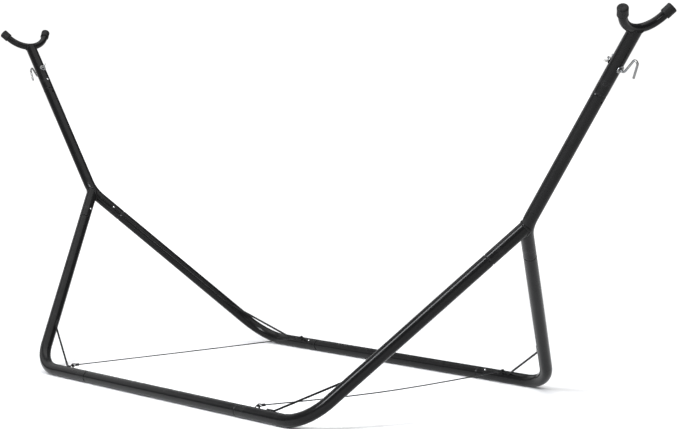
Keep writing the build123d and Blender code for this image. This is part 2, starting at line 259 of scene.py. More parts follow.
def stranded(line, radius):
    """Tube whose radius is radius + relief * (|cos(strands / 2 * (t - twist))| - 1): round crests
    over the strands and narrow grooves between them; the twist grows along the line."""
    path, along = resample(line, 2.4 * MM)
    turns = angles(36)
    phase = STRANDS / 2 * (turns[None, :] - tau * along[:, None] / LAY_LENGTH)
    skin = radius + STRAND_RELIEF * (np.abs(np.cos(phase)) - 1)
    return shell(around_path(path, np.array([0, 0, 1.0]), skin, turns))


cable_lines, cables = {}, {}
for end_name, route in cable_routes.items():
    cable_lines[end_name] = spline_line(f"{end_name}_cable_line", np.array(route))
    cables[end_name] = piece(f"{end_name}_cable", "frame", "cable_black",
                             [stranded(cable_lines[end_name], CABLE_D / 2)], sharp=180)
    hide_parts(f"{end_name}_cross_cable")
    print(end_name, "cable has", len(cables[end_name].data.polygons), "faces")

# %% [markdown]
# ## Eyes and crimped sleeves
#
# Each cable turns back on itself round the eyelet and is held by a soft metal sleeve, squeezed
# flat in three places by the crimping tool. The eye is a tube along a drop-shaped loop, and the
# sleeve is an oval whose height dips at the three bites.

# %% Cable ends
EYELET_RISE = TUBE_R + 12.5 * MM
EYELET_X = {("left", "front"): -0.675, ("left", "back"): -0.608,
            ("right", "front"): 0.608, ("right", "back"): 0.675}
EYE_REACH = 15 * MM
FERRULE_LENGTH = 13 * MM


def corner_lines(end, side):
    """A floor corner, the direction up its leg, and the direction along its floor tube."""
    corner = CORNER * signs(end, side)
    up_leg = unit(KNEE * signs(end, side) - corner)
    return corner, up_leg, np.array([-end, 0.0, 0.0])


def square_to(axis, lean):
    """Unit vector at right angles to `axis`, in the plane of `axis` and `lean`."""
    return unit(lean - axis * dot(lean, axis))


def eyelet_middle(end_name, side_name):
    end, side = ENDS[end_name], SIDES[side_name]
    _, up_leg, along_floor = corner_lines(end, side)
    foot = np.array([EYELET_X[end_name, side_name], side * CORNER[1], CORNER[2]])
    return foot + EYELET_RISE * square_to(along_floor, up_leg)


def eye_loop(wire, pull, sideways):
    """Drop-shaped line: a half circle behind the eyelet wire, then two legs that draw together
    towards the sleeve as the cosine of their distance."""
    reach = 5.1 * MM
    leg = 2.55 * MM
    back = np.linspace(pi / 2, 3 * pi / 2, 25)
    bend = np.stack([reach * np.cos(back), reach * np.sin(back)], axis=-1)
    run = np.linspace(0, 1, 16)[1:]
    drawn = leg + (reach - leg) * (1 + np.cos(pi * run)) / 2
    out = np.stack([run * (EYE_REACH + 2 * MM), -drawn], axis=-1)
    line = np.vstack([out[::-1] * [1, -1], bend, out])
    return wire + line[:, :1] * pull + line[:, 1:] * sideways


def crimped_sleeve(start, pull, sideways):
    """Oval sleeve: half width 5.4 mm, half height 4.5 mm less the depth of three bites, and both
    shrink to a rounded edge at the two ends."""
    bites_run = np.linspace(1.5, 11.5, 41)
    s = np.concatenate([[0, 0.15, 0.5, 1.0], bites_run, [12.0, 12.5, 12.85, 13.0]]) * MM
    edge = np.minimum(s, FERRULE_LENGTH - s) / (1.2 * MM)
    rounded = 1 - 0.22 * (1 - np.sqrt(1 - (1 - np.clip(edge, 0, 1)) ** 2))
    bites = 0.5 * (1 + np.cos(tau * 3 * (s / FERRULE_LENGTH - 0.5)))
    turns = angles(40)
    high = (4.5 * MM - 0.55 * MM * bites) * rounded
    wide = (5.4 * MM + 0.15 * MM * bites) * rounded
    height = np.cross(pull, sideways)
    across = wide[:, None, None] * np.cos(turns)[None, :, None] * sideways
    upward = high[:, None, None] * np.sin(turns)[None, :, None] * height
    return start + s[:, None, None] * pull + across + upward


eyes, sleeves = {}, {}
for end_name in ENDS:
    line = cable_lines[end_name]
    eye_shells, sleeve_shells = [], []
    for side_name, tip in (("front", 0), ("back", -1)):
        wire = eyelet_middle(end_name, side_name)
        pull = unit(line[tip] - wire)
        sideways = square_to(pull, np.array([0, 0, 1.0]))
        loop = eye_loop(wire, pull, sideways)
        flat = np.cross(pull, sideways)
        eye_shells.append(shell(around_path(loop, flat, 2.4 * MM, angles(20))))
        sleeve_shells.append(shell(crimped_sleeve(wire + EYE_REACH * pull, pull, sideways)))
    eyes[end_name] = piece(f"{end_name}_cable_loops", "frame", "cable_black", eye_shells, sharp=60)
    sleeves[end_name] = piece(f"{end_name}_crimped_sleeves", "frame", "cable_black", sleeve_shells,
                              sharp=60)
    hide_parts(f"{end_name}_cable_eyes")
    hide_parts(f"{end_name}_cable_ferrules")
print("cable ends:", [o.name for o in list(eyes.values()) + list(sleeves.values())])

# %% [markdown]
# ## Weld beads
#
# The front leg's socket is welded to the bent arm, the saddle to its sleeve, and the braces and
# eyelets to the legs. A weld made by hand is a row of overlapping scales. The bead is a flattened
# tube along the joint, and its radius ripples with the distance along it; the ripples lag behind
# at the edges, which gives the scales their curved fronts.

# %% Helper for beads
SCALE_PITCH = 2.8 * MM


def bead(line, lean, width, height, loop=False):
    """Rings about a joint line. Half width and half height are `width` and `height`, each times
    1 + 0.1 * cos(tau * (distance + 0.9 * width * cos^2 t) / pitch), and they taper to nothing at
    the ends of an open bead."""
    line = np.asarray(line)
    steps = np.linalg.norm(np.diff(line, axis=0, append=line[:1] if loop else line[-1:]), axis=1)
    along = np.concatenate([[0], np.cumsum(steps)[:-1]])
    total = steps.sum()
    pitch = total / max(round(total / SCALE_PITCH), 1)
    turns = angles(16)
    if loop:
        tangent = unit(np.roll(line, -1, axis=0) - np.roll(line, 1, axis=0))
    else:
        tangent = unit(np.gradient(line, axis=0))
    n = unit(lean - tangent * dot(lean, tangent))
    b = np.cross(tangent, n)
    lag = 0.9 * width * (1 - np.sin(turns) ** 2)
    ripple = 1 + 0.10 * np.cos(tau * (along[:, None] + lag[None, :]) / pitch)
    if loop:
        fade = np.ones(len(line))
    else:
        fade = np.sqrt(np.clip(np.minimum(along, total - along) / (1.5 * width), 0.004, 1))
    scale = (ripple * fade[:, None])[..., None]
    upward = height * np.cos(turns)[None, :, None] * n[:, None]
    sideways = width * np.sin(turns)[None, :, None] * b[:, None]
    return shell(line[:, None, :] + scale * (upward + sideways), loop)


def densify(line, step, loop=False):
    """Even steps along a line, which is closed first if it is a loop."""
    if loop:
        path, _ = resample(np.vstack([line, line[:1]]), step)
        return path[:-1]
    return resample(line, step)[0]


# %% [markdown]
# The knee bead follows the line where the round socket meets the bent arm. That line is found by
# looking: along each straight line of the socket's surface, the distance to the arm's axis is
# compared with the arm's radius, and the last place where they are equal is on the joint.

# %% Knee beads
BEND_R = 150 * MM


def arm_axis_distance(points, end):
    """Distance from points to the arm's axis: the least of the distances to the straight arm, to
    the bend's arc, and to the straight back socket."""
    knee = KNEE * signs(end, 1)
    up = unit(arm_place(1.0, 0.0, 0.0, end) - arm_place(0.0, 0.0, 0.0, end))
    down = -corner_lines(end, 1)[1]
    half_turn = np.arccos(float(dot(-up, down)[0])) / 2
    setback = BEND_R * np.tan(half_turn)
    inner = unit(up + down)
    middle = knee + inner * BEND_R / np.cos(half_turn)
    normal = unit(np.cross(up, down))
    reaches = []
    for direction in (up, down):
        along = np.clip(dot(points - knee, direction), setback, 1.0)
        reaches.append(np.linalg.norm(points - knee - along * direction, axis=-1))
    off_plane = dot(points - middle, normal)
    flat = points - middle - off_plane * normal
    inside = dot(flat, -inner)[..., 0] > np.linalg.norm(flat, axis=-1) * np.cos(half_turn)
    to_arc = np.hypot(np.linalg.norm(flat, axis=-1) - BEND_R, off_plane[..., 0])
    reaches.append(np.where(inside, to_arc, 1.0))
    return np.min(reaches, axis=0)


def knee_joint(end):
    """Points of the joint, 0.6 mm above the arm, and the direction half way between the two
    surfaces' normals."""
    knee = KNEE * signs(end, 1)
    down = -corner_lines(end, -1)[1]
    n = square_to(down, np.array([0, 0, 1.0]))
    b = np.cross(down, n)
    turns = angles(120)
    radial = np.cos(turns)[:, None] * n + np.sin(turns)[:, None] * b
    reach = np.linspace(-0.03, 0.10, 521)
    points = knee + TUBE_R * radial[:, None] + reach[None, :, None] * down
    above = arm_axis_distance(points, end) - TUBE_R - 0.6 * MM
    last = above.shape[1] - 1 - np.argmax(above[:, ::-1] < 0, axis=1)
    rows = np.arange(len(turns))
    a, c = above[rows, last], above[rows, last + 1]
    place = np.maximum(reach[last] + (reach[1] - reach[0]) * a / (a - c), -1 * MM)
    line = knee + TUBE_R * radial + place[:, None] * down
    nudge = 0.5 * MM * np.eye(3)
    slope = np.stack([arm_axis_distance(line + step, end) - arm_axis_distance(line - step, end)
                      for step in nudge], axis=-1)
    return line, unit(unit(slope) + radial)


for end_name, end in ENDS.items():
    line, lean = knee_joint(end)
    path = densify(line, 0.7 * MM, loop=True)
    nearest = np.argmin(np.linalg.norm(path[:, None] - line[None], axis=-1), axis=1)
    smooth = unit(sum(np.roll(lean[nearest], k, axis=0) for k in range(-6, 7)))
    piece(f"{end_name}_knee_weld", "frame", "frame_black",
          [bead(path, smooth, 5.2 * MM, 2.9 * MM, loop=True)], sharp=180)
    print(end_name, "knee bead:", round(len(path) * 0.7), "mm round")

# %% [markdown]
# Seen from above, the saddle covers a strip of the sleeve's round top. The bead runs under the
# saddle where the sleeve's wall meets it, and beside the saddle across the closing plate.

# %% Saddle beads
SADDLE_R = 15 * MM
SADDLE_BEND = 112 * MM
CRADLE = 830 * MM


def saddle_joint(end):
    """Loop in the sleeve's top: |out| and |across| follow the strip of the circle under the
    saddle; the height is where the saddle's underside or side passes."""
    side_y = sqrt(TUBE_R ** 2 - SADDLE_R ** 2)
    out = SADDLE_R * np.linspace(-1, 1, 60) * 0.999
    y_wall = np.sqrt(TUBE_R ** 2 - out ** 2)
    y_plate = np.linspace(side_y, -side_y, 50)[1:-1]
    edge = np.full(48, SADDLE_R * 0.999)
    flat = np.vstack([np.stack([out, y_wall], -1), np.stack([edge, y_plate], -1),
                      np.stack([out[::-1], -y_wall[::-1]], -1), np.stack([-edge, y_plate[::-1]], -1)])
    o, y = flat[:, 0], flat[:, 1]
    ring = SADDLE_BEND + np.sqrt(np.clip(SADDLE_R ** 2 - o ** 2, 0, None))
    drop = SADDLE_BEND - np.sqrt(ring ** 2 - y ** 2)
    return arm_place(CRADLE + drop, o, y, end), o, y


for end_name, end in ENDS.items():
    line, o, y = saddle_joint(end)
    outward = arm_place(0.0, o, y, end) - arm_place(0.0, 0.0, 0.0, end)
    up = unit(arm_place(1.0, 0.0, 0.0, end) - arm_place(0.0, 0.0, 0.0, end))
    on_plate = (np.abs(o) > SADDLE_R * 0.99)[:, None]
    lean = unit(unit(outward) + np.where(on_plate, 0.9, -0.45) * up)
    path = densify(line, 0.7 * MM, loop=True)
    nearest = np.argmin(np.linalg.norm(path[:, None] - line[None], axis=-1), axis=1)
    smooth = unit(sum(np.roll(lean[nearest], k, axis=0) for k in range(-8, 9)))
    piece(f"{end_name}_saddle_weld", "frame", "frame_black",
          [bead(path, smooth, 3.6 * MM, 2.8 * MM, loop=True)], sharp=180)

# %% [markdown]
# Each brace is a bent rod whose feet lie along the tubes, with a bead on both sides of each foot.
# Each eyelet is a bent wire with a bead round each of its two legs, where the wire enters the tube.

# %% Brace and eyelet beads
LEG_REACH, FLOOR_REACH = 207 * MM, 192 * MM
LONG_FOOT, SHORT_FOOT = 41 * MM, 15 * MM
WIRE_R = 2.5 * MM
EYELET_HALF = 11 * MM


def foot_beads(start, direction, stand_up, length):
    """Two straight beads in the grooves between a rod and the tube under it."""
    sideways = np.cross(direction, stand_up)
    along = np.linspace(0.1, 0.95, 2)[:, None] * length * direction
    shells = []
    for hand in (-1, 1):
        groove = start + (TUBE_R + 0.6 * MM) * stand_up + hand * 3.4 * MM * sideways
        line = densify(groove + along, 0.6 * MM)
        shells.append(bead(line, stand_up + 0.8 * hand * sideways, 2.2 * MM, 1.9 * MM))
    return shells


def leg_bead(foot, stand_up, along_tube):
    """Ring round an eyelet leg: on the tube's surface the ring drops by across^2 / (2 * radius)."""
    sideways = np.cross(along_tube, stand_up)
    turns = angles(60)[:, None]
    along, across = WIRE_R * 1.15 * np.cos(turns), WIRE_R * 1.15 * np.sin(turns)
    high = np.sqrt(TUBE_R ** 2 - across ** 2)
    line = foot + along * along_tube + across * sideways + high * stand_up
    lean = np.cos(turns) * along_tube + np.sin(turns) * sideways + 0.8 * stand_up
    return bead(line, lean, 1.7 * MM, 1.5 * MM, loop=True)


for end_name, end in ENDS.items():
    for side_name, side in SIDES.items():
        corner, up_leg, along_floor = corner_lines(end, side)
        near = end * side < 0
        leg_up, floor_up = square_to(up_leg, along_floor), square_to(along_floor, up_leg)
        shells = foot_beads(corner + LEG_REACH * up_leg, up_leg, leg_up, LONG_FOOT)
        shells += foot_beads(corner + FLOOR_REACH * along_floor, along_floor, floor_up,
                             LONG_FOOT if near else SHORT_FOOT)
        eyelet_foot = np.array([EYELET_X[end_name, side_name], side * CORNER[1], CORNER[2]])
        for hand in (-1, 1):
            foot = eyelet_foot + hand * EYELET_HALF * along_floor
            shells.append(leg_bead(foot, floor_up, along_floor))
        piece(f"{end_name}_{side_name}_foot_welds", "frame", "frame_black", shells, sharp=180)
print("beads at the four feet done")

# %% [markdown]
# ## Rubber caps on the horns
#
# A moulded cap is a cup with a thick rounded end. It has a small rolled lip where it stops on the
# saddle, a faint waist, and the dimple of its moulding gate. It is one profile turned about the
# horn.

# %% Horn caps
HORN_ANGLE = radians(58.0)
HORN_LENGTH = 33 * MM
CAP_LENGTH, CAP_FLOOR = 37 * MM, 4 * MM


def cap_profile():
    """Rows of (distance from the open end, radius): bore outwards, lip, waist, corner, end."""
    bore = np.array([[33.0, 0.4], [33.0, 14.6], [32.6, 15.06], [2.0, 15.06], [0.4, 15.3],
                     [0.0, 15.9]])
    lip = np.linspace(-pi / 2, pi / 4, 12)[:, None]
    lip = np.hstack([2.0 + 2.0 * np.sin(lip), 16.9 + 2.1 * np.cos(lip)])
    waist = np.linspace(0.05, 1, 10)[:, None]
    waist = np.hstack([3.2 + 27.8 * waist, 18.98 - 0.35 * np.sin(pi * waist) ** 0.7])
    corner = np.linspace(0, pi / 2, 14)[:, None]
    corner = np.hstack([31.0 + 6.0 * np.sin(corner), 13.0 + 6.0 * np.cos(corner)])
    gate = np.array([[37.0, 3.4], [36.85, 3.0], [36.7, 2.7], [36.7, 0.4]])
    return np.vstack([bore, lip[1:], waist, corner, gate]) * MM


def horn(end, side):
    """The tip of a horn and its outward direction."""
    rise = SADDLE_BEND * (1 - cos(HORN_ANGLE)) + HORN_LENGTH * sin(HORN_ANGLE)
    spread = SADDLE_BEND * sin(HORN_ANGLE) + HORN_LENGTH * cos(HORN_ANGLE)
    tip = arm_place(CRADLE + rise, 0.0, side * spread, end)
    back = arm_place(CRADLE + rise - sin(HORN_ANGLE), 0.0, side * (spread - cos(HORN_ANGLE)), end)
    return tip, unit(tip - back)


for end_name, end in ENDS.items():
    for side_name, side in SIDES.items():
        tip, out = horn(end, side)
        start = tip - (CAP_LENGTH - CAP_FLOOR) * out
        rings = turned_shape(start, out, np.array([1.0, 0.2, 0.3]), cap_profile(), angles(64))
        cap = piece(f"{end_name}_{side_name}_cap", "frame", "cap_rubber", [shell(rings)], sharp=50)
        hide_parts(f"{end_name}_{side_name}_horn_cap")
print("four rubber caps on the horns")

# %% [markdown]
# ## Hook bolts
#
# Each hook bolt is one bent bar. Its shank is threaded, passes through the arm, and carries a stop
# nut outside and a wing nut inside. The thread is a winding ridge: the radius dips with the angle
# round the bar less one turn for every pitch along it.

# %% Hook bolts
BOLT_R = 4 * MM
THREAD_PITCH, THREAD_DEPTH, THREAD_END = 1.25 * MM, 0.62 * MM, 74 * MM
HOOK_AT = 686 * MM


def bent_line(corners, radii):
    """A line with straight runs and round bends. Each bend is an arc about a middle that lies
    radius / cos(half the turn) from its corner, on the inner side."""
    runs = [corners[:1]]
    for before, here, after, radius in zip(corners, corners[1:], corners[2:], radii):
        back, on = unit(before - here), unit(after - here)
        half = np.arccos(np.clip(float(dot(-back, on)[0]), -1, 1)) / 2
        inner = unit(back + on)
        middle = here + inner * radius / np.cos(half)
        sweep = np.linspace(-half, half, 24)[:, None]
        sideways = square_to(inner, on)
        runs.append(middle + radius * (np.sin(sweep) * sideways - np.cos(sweep) * inner))
    return np.vstack(runs + [corners[-1:]])


def hook_path(end):
    """The bar's axis, in steps of 0.2 mm along the thread and 1.2 mm beyond it."""
    corners = np.array([[0, -43], [0, 42], [66, 55], [59, 73.5], [11, 86.5]]) * MM
    line = bent_line(arm_place(HOOK_AT + corners[:, 0], corners[:, 1], 0.0, end),
                     [12 * MM, 10.5 * MM, 10.5 * MM])
    fine, at = resample(line, 0.2 * MM)
    keep = (at < THREAD_END + 1 * MM) | (np.arange(len(at)) % 6 == 0)
    keep[-12:] = True
    return fine[keep], at[keep]


for end_name, end in ENDS.items():
    path, at = hook_path(end)
    turns = angles(28)
    phase = (at[:, None] / THREAD_PITCH - turns[None, :] / tau) % 1.0
    groove = THREAD_DEPTH * (1 - np.abs(2 * phase - 1) / 0.9).clip(0, 0.85)
    fading = np.clip((THREAD_END - at) / (2.5 * MM), 0, 1)[:, None]
    chamfer = np.clip(1.0 * MM - at, 0, None)[:, None]
    left = at[-1] - at
    tip = BOLT_R * (1 - np.sqrt(1 - np.clip(1 - left / (1.6 * MM), 0, 0.96) ** 2))[:, None]
    radius = BOLT_R - groove * fading - chamfer - tip
    hook = piece(f"{end_name}_hook", f"{end_name}_hook", "zinc",
                 [shell(around_path(path, np.array([0, 1.0, 0]), radius, turns))], sharp=50)
    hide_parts(f"{end_name}_hook_bolt")
    print(end_name, "hook bar is", round(float(at[-1] / MM)), "mm long")

# %% [markdown]
# ## Washers and nuts
#
# A stamped washer has one rounded edge and one sharp one. A spring washer is a strip wound into one
# open turn, whose two ends stand a little apart. A hexagon nut is the smaller of two radii at each
# angle: that of a hexagon, and that of the cone that takes off its corners.

# %% Washers and nuts on the hook bolts
def axis_frame(end):
    """The bolt's outward direction and the direction up the arm."""
    origin = arm_place(0.0, 0.0, 0.0, end)
    out, up = arm_place(0.0, 1.0, 0.0, end), arm_place(1.0, 0.0, 0.0, end)
    return unit(out - origin), unit(up - origin)


def ring_of(start, axis, lean, profile, count=56):
    """A closed profile of (distance along the axis, radius) turned once round: a ring. The turn
    is taken as the long direction, so each section of the ring is one of the shell's rings."""
    rings = turned_shape(start, axis, lean, np.array(profile) * MM, angles(count))
    return shell(np.swapaxes(rings, 0, 1), loop=True)


WASHER = [(0.0, 4.4), (0.0, 13.6), (0.25, 14.0), (1.5, 14.0), (1.85, 13.75), (2.0, 13.3),
          (2.0, 4.8), (1.8, 4.4)]
HUB = [(0.0, 4.08), (0.0, 6.5), (0.4, 6.9), (2.0, 6.85), (6.9, 6.35), (7.6, 6.05), (8.0, 5.4),
       (8.0, 4.5), (7.7, 4.08)]


def split_washer(start, axis, lean):
    """Rectangular strip carried once round the bolt, less a gap; it climbs 0.42 mm a turn."""
    n = square_to(axis, lean)
    b = np.cross(axis, n)
    turn = np.linspace(radians(6), radians(354), 60)[:, None, None]
    spoke = np.cos(turn) * n + np.sin(turn) * b
    corners = np.array([[0.15, 4.5], [0.0, 4.9], [0.0, 6.6], [0.15, 6.9], [1.6, 6.9], [1.75, 6.6],
                        [1.75, 4.9], [1.6, 4.5]]) * MM
    climb = 0.42 * MM * turn / tau
    rings = start + (corners[None, :, :1] + climb) * axis + corners[None, :, 1:] * spoke
    return shell(rings)


def hex_nut(start, axis, lean, flats, thick):
    """Radius min(hexagon, cone): flats / 2 / cos(angle from the nearest flat's middle), and
    0.985 * flats / 2 + 1.73 * distance from the nearer end."""
    z = np.array([0.0, 0.25, 0.5, 0.8, 1.2]) * MM
    z = np.concatenate([z, thick - z[::-1]])
    turns = angles(72)
    hexagon = flats / 2 / np.cos((turns + pi / 6) % (pi / 3) - pi / 6)
    cone = flats / 2 * 0.985 + 1.73 * np.minimum(z, thick - z)
    outer = np.minimum(hexagon[None, :], cone[:, None])
    bore = np.full((1, len(turns)), 4.08 * MM)
    radius = np.vstack([bore, outer, bore])
    z = np.concatenate([[0.0], z, [thick]])
    n = square_to(axis, lean)
    b = np.cross(axis, n)
    circle = np.cos(turns)[:, None] * n + np.sin(turns)[:, None] * b
    rings = start + z[:, None, None] * axis + radius[..., None] * circle[None]
    return shell(np.swapaxes(rings, 0, 1), loop=True)


# %% [markdown]
# A wing nut is cast: a short tapered hub with two ears that grow out of it, bend upwards and end
# round, so that fingers can turn it. Each ear is a tube of oval section along a bent line.

# %% Wing nuts
def ear(start, axis, sideways, hand):
    """Oval sections along a quarter bend: the line runs out of the hub and turns up along the
    axis; the section is wide and thin, and closes like an ellipse at the tip."""
    tip = 0.9 + 0.1 * np.sin(np.linspace(0, pi / 2, 12)[1:])
    u = np.concatenate([np.linspace(0, 0.9, 26), tip])
    out = (4.2 + 12.2 * np.sin(u * pi / 2) ** 1.05) * MM
    high = (3.6 + 11.6 * u ** 2.1) * MM
    path = start + out[:, None] * hand * sideways + high[:, None] * axis
    flat = np.cross(axis, hand * sideways)
    close = np.sqrt(1 - np.clip((u - 0.72) / 0.2801, 0, 0.9999) ** 2)
    wide = (2.9 + 1.0 * np.sin(u * pi)) * MM * close
    thin = (1.7 - 0.45 * u) * MM * (0.35 + 0.65 * close)
    tangent = unit(np.gradient(path, axis=0))
    b = np.cross(tangent, flat)
    turns = angles(24)
    section = (thin[:, None, None] * np.cos(turns)[None, :, None] * flat
               + wide[:, None, None] * np.sin(turns)[None, :, None] * b[:, None, :])
    return shell(path[:, None, :] + section)


WASHER_SEAT = TUBE_R + 0.1 * MM
for end_name, end in ENDS.items():
    out, up = axis_frame(end)
    seat = arm_place(HOOK_AT, 0.0, 0.0, end)
    outer = seat + WASHER_SEAT * out
    inner = seat - WASHER_SEAT * out
    for face, start, away in (("outer", outer, out), ("inner", inner, -out)):
        washer = piece(f"{end_name}_{face}_plain_washer", "frame", "zinc",
                       [ring_of(start, away, up, WASHER)], sharp=30)
        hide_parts(f"{end_name}_{face}_washer")
    spring = piece(f"{end_name}_spring_washer", "frame", "zinc",
                   [split_washer(inner - 2.02 * MM * out, -out, up)], sharp=30)
    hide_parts(f"{end_name}_lock_washer")
    nut = piece(f"{end_name}_jam_nut", f"{end_name}_hook", "zinc",
                [hex_nut(outer + 2.1 * MM * out, out, up, 13 * MM, 4 * MM)], sharp=25)
    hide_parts(f"{end_name}_stop_nut")
    base = inner - 4.3 * MM * out
    ears = unit(up + np.array([0, 1.0, 0]))
    wing = piece(f"{end_name}_wing_nut_cast", f"{end_name}_wing", "zinc",
                 [ring_of(base, -out, up, HUB), ear(base, -out, ears, 1),
                  ear(base, -out, ears, -1)], sharp=40)
    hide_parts(f"{end_name}_wing_nut")
print("washers, spring washers, jam nuts and wing nuts on both hook bolts")

# %% [markdown]
# ## A small language for shaders
#
# A material is a network of nodes, which is hard to read as code. The class below wraps one socket
# of the network, so that a formula such as 0.4 + 0.1 * grain adds the Math nodes it needs, and its
# `node` method adds any other kind of node with its settings, values and links.

# %% Shader helper
class Shade:
    """One output of a node in a material's network."""

    def __init__(self, tree, socket=None):
        self.tree, self.socket = tree, socket

    def node(self, kind, settings=None, inputs=None, output=0):
        made = self.tree.nodes.new(kind)
        for name, value in (settings or {}).items():
            if name == "stops":
                while len(made.color_ramp.elements) < len(value):
                    made.color_ramp.elements.new(1.0)
                for stop, (place, colour) in zip(made.color_ramp.elements, value):
                    stop.position, stop.color = place, colour
            else:
                setattr(made, name, value)
        for name, value in (inputs or {}).items():
            if isinstance(value, Shade):
                self.tree.links.new(value.socket, made.inputs[name])
            else:
                made.inputs[name].default_value = value
        return Shade(self.tree, made.outputs[output])

    def math(self, operation, a, b=0.0):
        return self.node("ShaderNodeMath", {"operation": operation}, {0: a, 1: b})

    def __add__(self, other):
        return self.math("ADD", self, other)

    def __sub__(self, other):
        return self.math("SUBTRACT", self, other)

    def __rsub__(self, other):
        return self.math("SUBTRACT", other, self)

    def __mul__(self, other):
        return self.math("MULTIPLY", self, other)

    __radd__ = __add__
    __rmul__ = __mul__

    def between(self, low, high):
        """0 at or below `low`, 1 at or above `high`, and straight between them."""
        return self.node("ShaderNodeMapRange", {"clamp": True},
                         {"Value": self, "From Min": low, "From Max": high})

    def noise(self, scale, detail=2.0, roughness=0.5):
        return self.node("ShaderNodeTexNoise", {"noise_dimensions": "3D"},
                         {"Vector": self, "Scale": scale, "Detail": detail, "Roughness": roughness})

    def mix(self, a, b):
        """Colour a where this is 0, colour b where it is 1."""
        return self.node("ShaderNodeMix", {"data_type": "RGBA"}, {0: self, 6: a, 7: b}, output=2)

    def bump(self, distance, strength=1.0):
        return self.node("ShaderNodeBump", {},
                         {"Height": self, "Distance": distance, "Strength": strength})


def finish(name, varying, **fixed):
    """A material whose constant values sit on its shader's sockets and whose varying ones come
    from `varying`, a function from the object coordinates to a dictionary of sockets."""
    material = bpy.data.materials.new(name)
    material.use_nodes = True
    shader = material.node_tree.nodes["Principled BSDF"]
    for socket, value in fixed.items():
        shader.inputs[socket.replace("_", " ")].default_value = value
    place = Shade(material.node_tree).node("ShaderNodeTexCoord", output="Object")
    for socket, value in varying(place).items():
        material.node_tree.links.new(value.socket, shader.inputs[socket])
    return material


# %% [markdown]
# ## Finishes
#
# The tubes are sprayed with powder and baked. The film is black and half glossy, with the fine
# dimples of orange peel, slightly uneven gloss, a little pale dust on top, and rubbed rings where
# one tube has been pushed into the next. Each ring is found from the distance to the nearest knee
# or to the seam in the floor tubes, because both halves of the stand are alike.

# %% Powder coat
def coat_base(place):
    """Parts that every powder-coated piece shares: tone, gloss and dimples."""
    cloud = place.noise(5.0, 3.0)
    patch = place.noise(34.0, 4.0, 0.6)
    speck = place.noise(420.0, 2.0, 0.6)
    peel = place.noise(760.0, 1.0)
    pit = place.noise(210.0, 2.0)
    return cloud, patch, speck, peel, pit


def dust_mask(place, patch):
    """More where the surface faces up and where the patches are."""
    facing = place.node("ShaderNodeNewGeometry", output="Normal")
    upward = facing.node("ShaderNodeSeparateXYZ", {}, {0: facing}, output="Z")
    return upward.between(0.35, 1.0) * patch.between(0.42, 0.72)


def near_distance(place, point):
    """Distance to a point, with the signs of X and Y dropped first, so that all four quarters of
    the stand share it."""
    folded = place.node("ShaderNodeVectorMath", {"operation": "ABSOLUTE"}, {0: place})
    return place.node("ShaderNodeVectorMath", {"operation": "DISTANCE"}, {0: folded, 1: point},
                      output="Value")


def band(distance, at, width):
    """1 where the distance is `at`, falling to 0 within `width` on both sides."""
    off = distance.math("ABSOLUTE", distance - at)
    return 1.0 - off.between(0.0, width)


def rubbed_rings(place):
    """Rubbed bands at the seams: 166 mm from the knee on the legs, 575 mm from it on the arms, and
    520 mm from the middle on the floor tubes; and a ring round every snap button."""
    height = place.node("ShaderNodeSeparateXYZ", {}, {0: place}, output="Z")
    along = place.node("ShaderNodeSeparateXYZ", {}, {0: place}, output="X")
    far = along.math("ABSOLUTE", along)
    knee = near_distance(place, tuple(KNEE))
    legs = band(knee, 0.1665, 0.006) * (1.0 - height.between(0.66, 0.69))
    arms = band(knee, 0.5755, 0.006) * height.between(0.9, 1.0)
    floor = band(far, 0.520, 0.006) * (1.0 - height.between(0.05, 0.06))
    rubbed = legs + arms + floor
    for button in ((1.3401, 0.0685, 0.6178), (0.566, 0.589, 0.024), (1.7769, 0.0, 1.188)):
        rubbed = rubbed + 0.6 * band(near_distance(place, button), 0.0245, 0.0022)
    return rubbed


def powder(place):
    cloud, patch, speck, peel, pit = coat_base(place)
    dust = dust_mask(place, patch)
    scratch = rubbed_rings(place) * speck.between(0.50, 0.66)
    tone = cloud.mix((0.0050, 0.0050, 0.0052, 1), (0.0075, 0.0075, 0.0076, 1))
    dusty = (dust * 0.16).mix(tone, (0.055, 0.054, 0.052, 1))
    worn = (scratch * 0.55).mix(dusty, (0.070, 0.070, 0.072, 1))
    gloss = 0.14 + 0.08 * patch + 0.05 * cloud + 0.12 * dust + 0.18 * scratch
    skin = (peel + 0.4 * pit).bump(0.00002, 0.5)
    return {"Base Color": worn, "Roughness": gloss, "Normal": skin}


black_coat = finish("black powder coat", powder, IOR=1.23)
print("powder coat has", len(black_coat.node_tree.nodes), "nodes")

# %% [markdown]
# The small fittings are plain zinc plate, which is bright but never even: it shades from bluish to
# straw-coloured, and fingers leave duller patches. The buttons and the spring strips are hardened
# steel. The caps are dull moulded rubber, and the cables have a smooth plastic coat.

# %% Metals, rubber and plastic
def zinc(place):
    tint = place.noise(120.0, 3.0, 0.6).between(0.35, 0.65)
    finger = place.noise(260.0, 3.0, 0.65)
    grain = place.noise(2600.0, 2.0)
    stain = place.noise(700.0, 4.0, 0.7).between(0.58, 0.74)
    metal = tint.mix((0.19, 0.20, 0.215, 1), (0.24, 0.235, 0.22, 1))
    dulled = (stain * 0.35).mix(metal, (0.12, 0.12, 0.12, 1))
    gloss = 0.24 + 0.22 * finger + 0.12 * stain
    return {"Base Color": dulled, "Roughness": gloss,
            "Normal": (grain + 0.6 * finger).bump(0.00004, 0.5)}


def button_metal(place):
    finger = place.noise(420.0, 3.0, 0.6)
    rub = place.noise(1500.0, 2.0).between(0.55, 0.7)
    metal = finger.mix((0.62, 0.63, 0.64, 1), (0.74, 0.74, 0.73, 1))
    return {"Base Color": metal, "Roughness": 0.16 + 0.16 * finger + 0.10 * rub,
            "Normal": rub.bump(0.00003, 0.5)}


